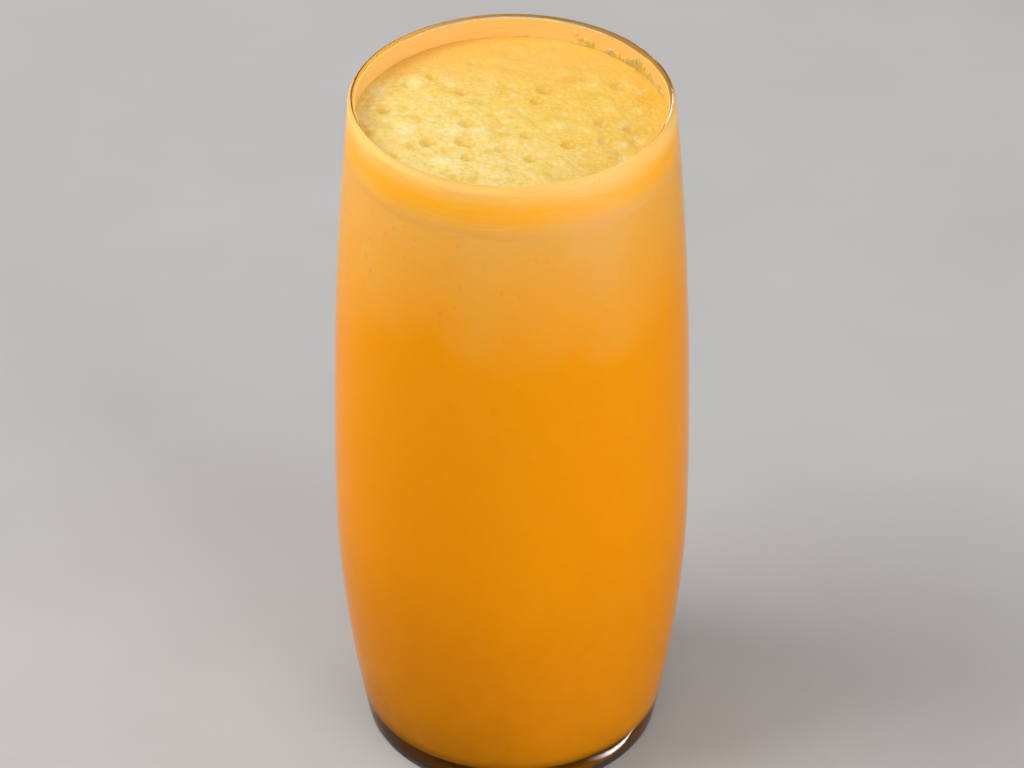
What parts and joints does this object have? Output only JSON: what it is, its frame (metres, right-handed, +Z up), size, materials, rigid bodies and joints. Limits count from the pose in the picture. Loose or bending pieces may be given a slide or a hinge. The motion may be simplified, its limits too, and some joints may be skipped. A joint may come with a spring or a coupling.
{
  "type": "glass of orange juice",
  "caption": "Tall, slightly barrel-shaped clear tumbler filled almost to the brim with opaque orange juice under a thin head of bubbly froth.",
  "frame": {"origin": "centre of the foot, on the plane of the surface that the glass stands on", "axes": "+Z up along the axis that the glass is turned about, +X and +Y any two square directions across it; the picture is taken from the -Y side"},
  "size_m": [0.0716, 0.0716, 0.15],
  "materials": {
    "clear_glass": "clear, colourless, fire-polished and smooth",
    "orange_juice": "opaque wet juice with fine pulp",
    "juice_froth": "pale yellow-orange foam of fine bubbles with larger open ones"
  },
  "bodies": {
    "root": {"tumbler": "clear_glass", "juice": "orange_juice", "froth": "juice_froth"}
  },
  "joints": []
}
